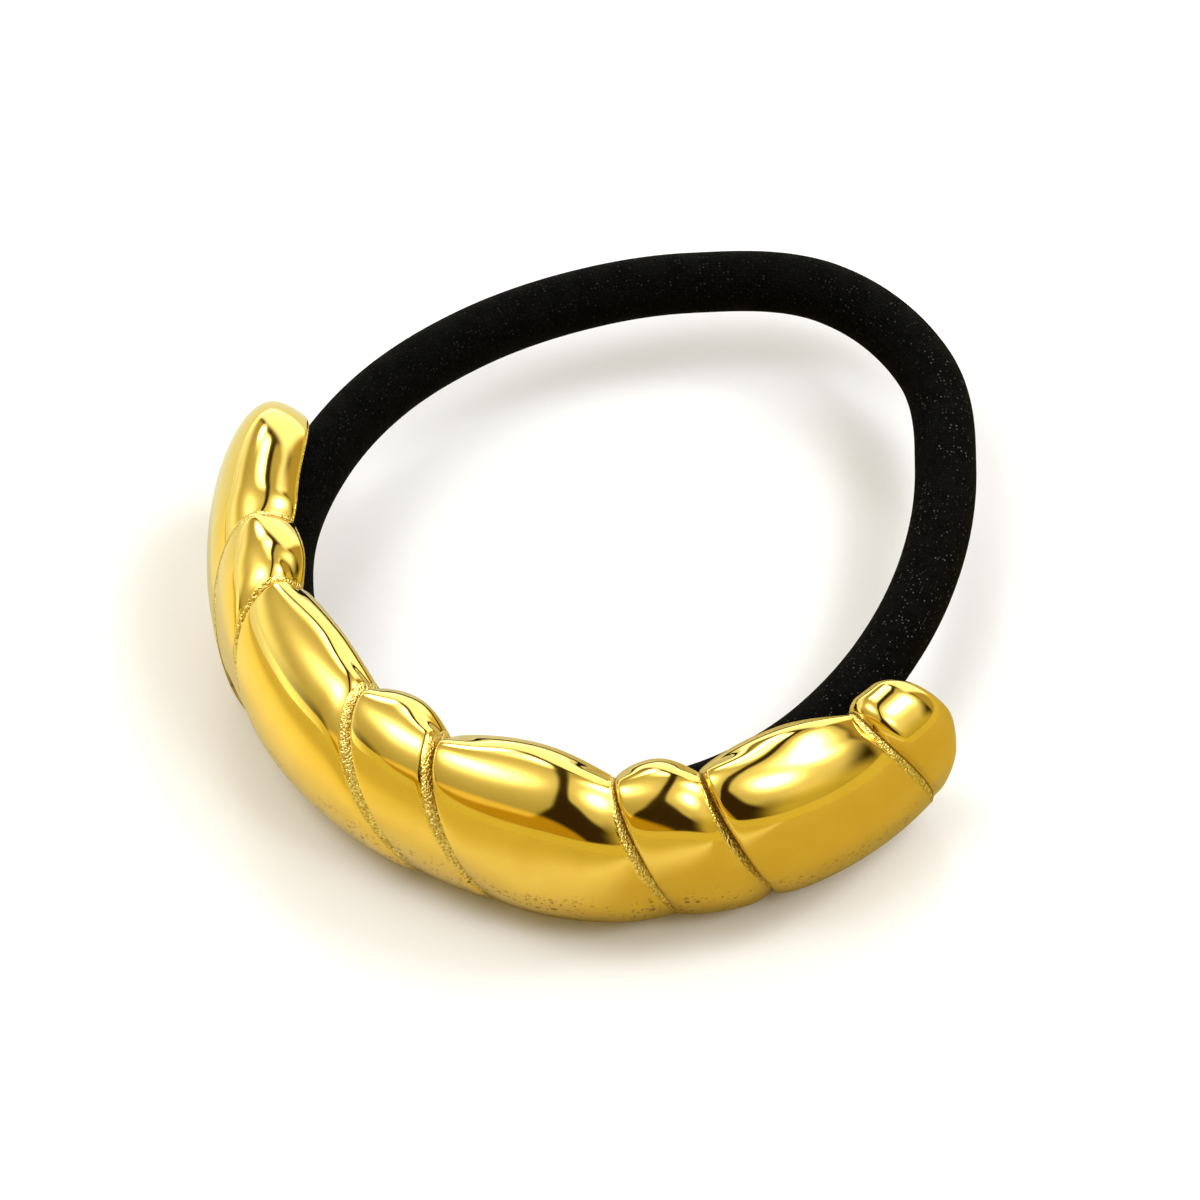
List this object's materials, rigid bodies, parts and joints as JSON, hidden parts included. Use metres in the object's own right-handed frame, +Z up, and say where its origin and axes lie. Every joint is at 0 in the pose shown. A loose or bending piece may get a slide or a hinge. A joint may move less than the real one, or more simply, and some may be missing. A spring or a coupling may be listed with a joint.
{
  "type": "metal cuff hair tie",
  "caption": "Hair tie: a C-shaped hollow-backed metal cuff of twisted rounded lobes with a round black elastic running behind it, lying flat.",
  "frame": {"origin": "middle of the whole hair tie's plan, on the surface it lies on", "axes": "+Z up along the ring's axis, out of the opening for the hair; -Y out of the middle of the metal cuff; +Y towards the elastic's pointed back; +X to the right of the cuff seen from its front"},
  "size_m": [0.0555, 0.0582, 0.0139],
  "materials": {
    "gold_metal": "mirror-polished yellow gold plating",
    "black_elastic": "matte fine knit over rubber"
  },
  "bodies": {
    "root": {"metal_cuff": "gold_metal", "elastic_band": "black_elastic"}
  },
  "joints": []
}
